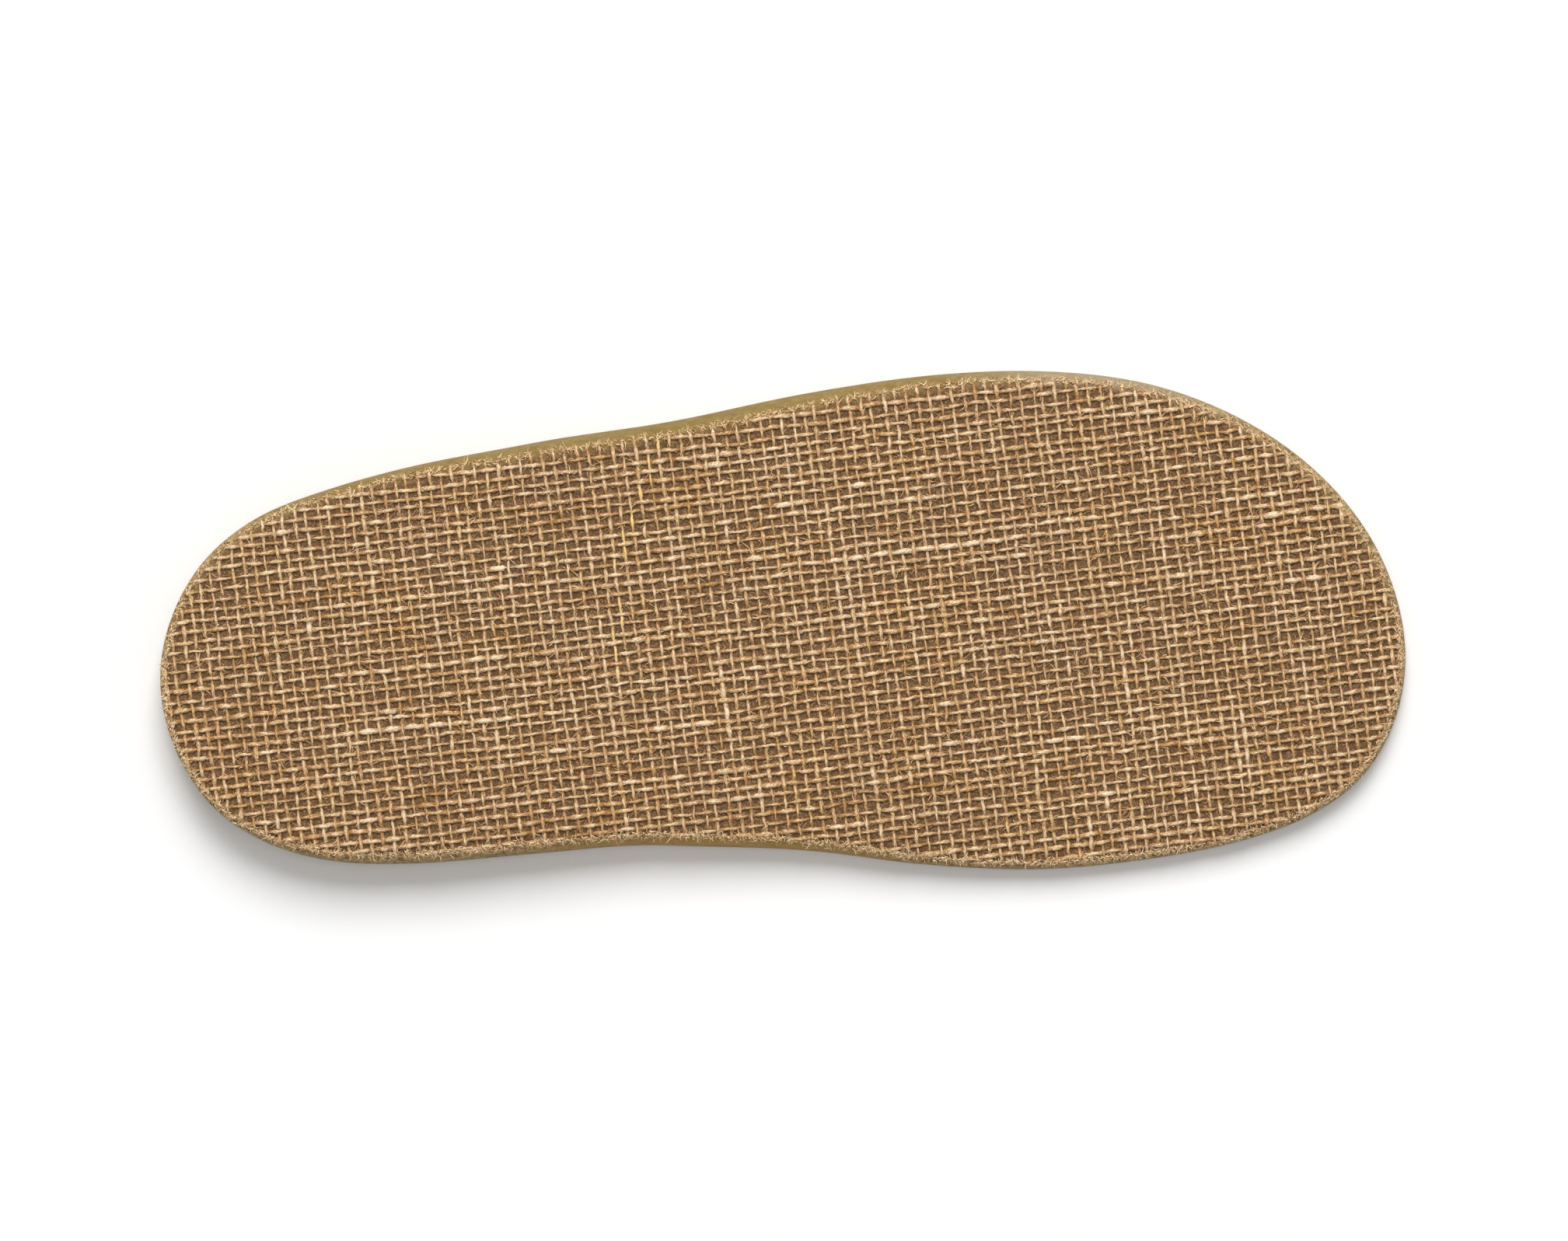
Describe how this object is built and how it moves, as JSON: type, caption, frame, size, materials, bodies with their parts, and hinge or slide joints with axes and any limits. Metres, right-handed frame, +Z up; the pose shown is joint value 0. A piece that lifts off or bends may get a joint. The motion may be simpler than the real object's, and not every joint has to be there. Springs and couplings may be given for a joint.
{
  "type": "shoe footbed",
  "caption": "Contoured shoe footbed for a right foot: a moulded cork and latex body with open-weave jute cloth bonded over its underside, lying jute side up.",
  "frame": {"origin": "on the table, under the middle of the box of the footbed as it lies jute side up", "axes": "+X from heel to toe, +Y towards the outer side of the foot, +Z up, away from the foot side"},
  "size_m": [0.27, 0.1082, 0.0141],
  "materials": {
    "cork": "moulded cork and latex, smooth at the waist and ground at heel and toe",
    "jute": "natural jute yarn in an open plain weave"
  },
  "bodies": {
    "root": {"footbed_body": "cork", "jute_cover": "jute"}
  },
  "joints": []
}
